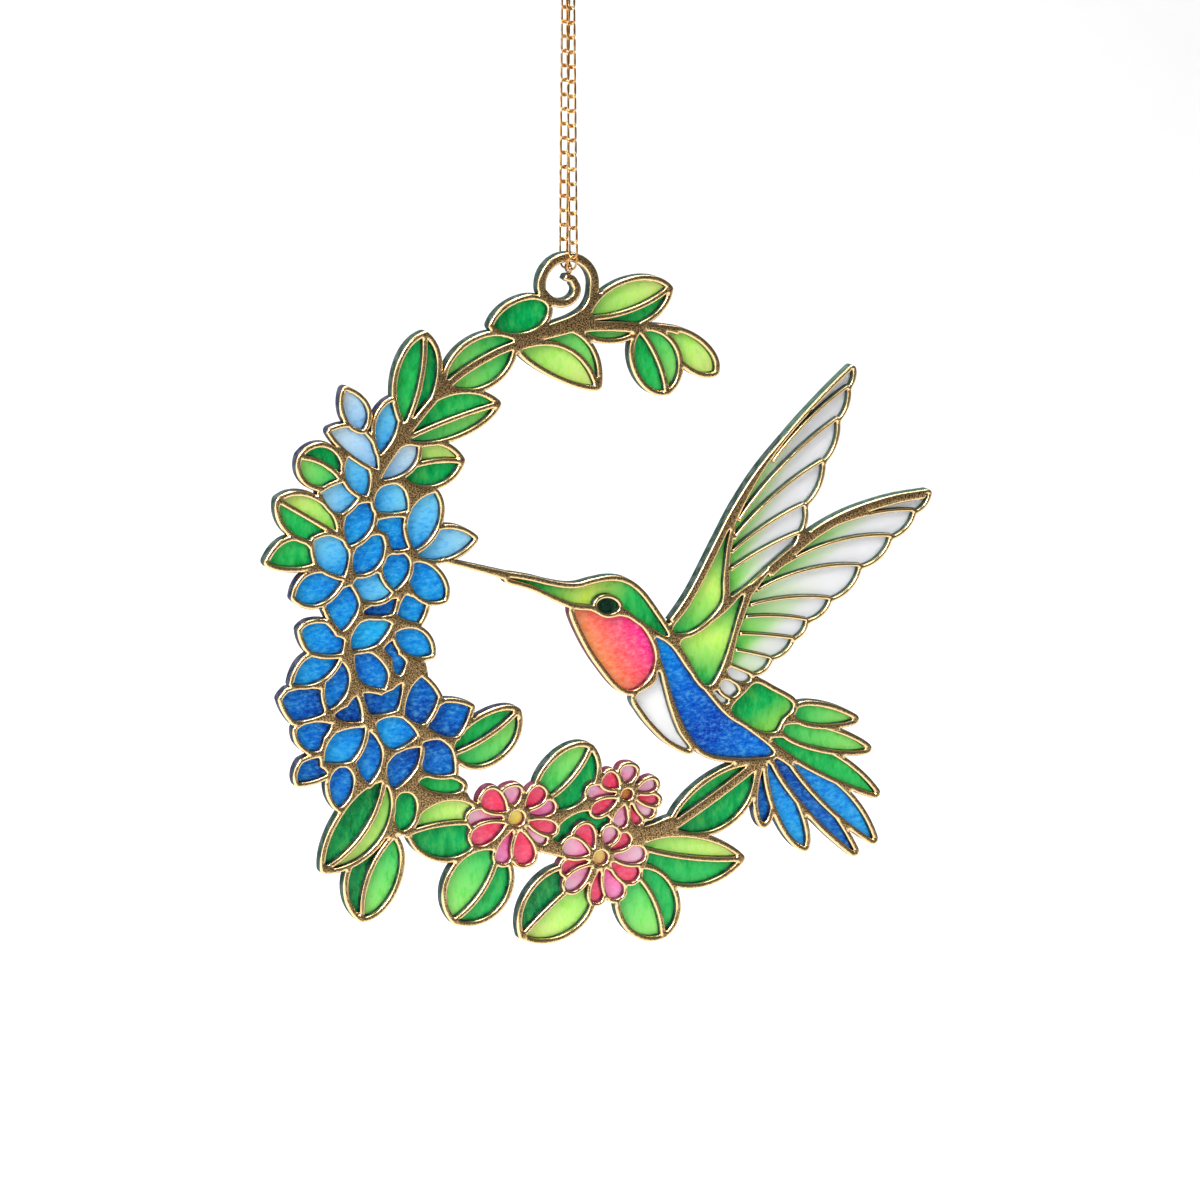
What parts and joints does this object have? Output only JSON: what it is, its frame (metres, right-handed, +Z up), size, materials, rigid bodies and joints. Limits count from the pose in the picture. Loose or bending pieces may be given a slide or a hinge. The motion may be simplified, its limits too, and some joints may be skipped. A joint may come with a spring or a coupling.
{
  "type": "stained glass suncatcher",
  "caption": "Hanging stained glass window panel, a hummingbird at a wreath of blue blossoms, pink flowers and green leaves in gold leading, on a fine looped chain with a ring.",
  "frame": {"origin": "inside top of the hanging ring, where a hook or nail carries it", "axes": "+Z up along the chain, -Y out of the panel's front face, +X to the viewer's right when the front is seen"},
  "size_m": [0.1483, 0.008, 0.2082],
  "materials": {
    "gold_leading": "antiqued gold metal, softly polished",
    "gold_chain": "polished gold-coloured fine chain",
    "glass_branch": "green and lime streaked art glass",
    "glass_flower_left": "rose and pale pink streaked art glass with a yellow eye",
    "glass_flower_middle": "rose and pale pink streaked art glass with an orange eye",
    "glass_flower_right": "rose and pale pink streaked art glass with an orange-yellow eye",
    "glass_head": "green to lime streaked art glass with a very dark eye",
    "glass_throat": "orange-yellow to magenta streaked art glass",
    "glass_belly": "white translucent art glass",
    "glass_shoulders": "green and lime mottled art glass",
    "glass_back": "azure to deep blue streaked art glass",
    "glass_rump_and_green_tail": "green to lime streaked art glass",
    "glass_blossoms": "pale to deep blue streaked art glass",
    "glass_left_leaves": "green and lime streaked art glass",
    "glass_lower_left_leaves": "green and lime streaked art glass",
    "glass_leaf_between_flowers": "green and lime streaked art glass",
    "glass_lower_middle_leaf": "green and lime streaked art glass",
    "glass_lower_right_leaves": "green and lime streaked art glass",
    "glass_blue_tail": "azure and deep blue streaked art glass",
    "glass_upper_wing": "clear glass with green at the feather roots",
    "glass_lower_wing": "clear glass with green at the feather roots"
  },
  "bodies": {
    "root": {"leading": "gold_leading", "glass_branch": "glass_branch", "glass_flower_left": "glass_flower_left", "glass_flower_middle": "glass_flower_middle", "glass_flower_right": "glass_flower_right", "glass_head": "glass_head", "glass_throat": "glass_throat", "glass_belly": "glass_belly", "glass_shoulders": "glass_shoulders", "glass_back": "glass_back", "glass_rump_and_green_tail": "glass_rump_and_green_tail", "glass_blossoms": "glass_blossoms", "glass_left_leaves": "glass_left_leaves", "glass_lower_left_leaves": "glass_lower_left_leaves", "glass_leaf_between_flowers": "glass_leaf_between_flowers", "glass_lower_middle_leaf": "glass_lower_middle_leaf", "glass_lower_right_leaves": "glass_lower_right_leaves", "glass_blue_tail": "glass_blue_tail", "glass_upper_wing": "glass_upper_wing", "glass_lower_wing": "glass_lower_wing", "chain_link_01": "gold_chain", "chain_link_02": "gold_chain", "chain_link_03": "gold_chain", "chain_link_04": "gold_chain", "chain_link_05": "gold_chain", "chain_link_06": "gold_chain", "chain_link_07": "gold_chain", "chain_link_08": "gold_chain", "chain_link_09": "gold_chain", "chain_link_10": "gold_chain", "chain_link_11": "gold_chain", "chain_link_12": "gold_chain", "chain_link_13": "gold_chain", "chain_link_14": "gold_chain", "chain_link_15": "gold_chain", "chain_link_16": "gold_chain", "chain_link_17": "gold_chain", "chain_link_18": "gold_chain", "chain_link_19": "gold_chain", "chain_link_20": "gold_chain", "chain_link_21": "gold_chain", "chain_link_22": "gold_chain", "chain_link_23": "gold_chain", "chain_link_24": "gold_chain", "chain_link_25": "gold_chain", "chain_link_26": "gold_chain", "chain_link_27": "gold_chain", "chain_link_28": "gold_chain", "chain_link_29": "gold_chain", "chain_link_30": "gold_chain", "chain_link_31": "gold_chain", "chain_link_32": "gold_chain", "chain_link_33": "gold_chain", "chain_link_34": "gold_chain", "chain_link_35": "gold_chain", "chain_link_36": "gold_chain", "chain_link_37": "gold_chain", "chain_link_38": "gold_chain", "chain_link_39": "gold_chain", "hanging_ring": "gold_chain"}
  },
  "joints": []
}
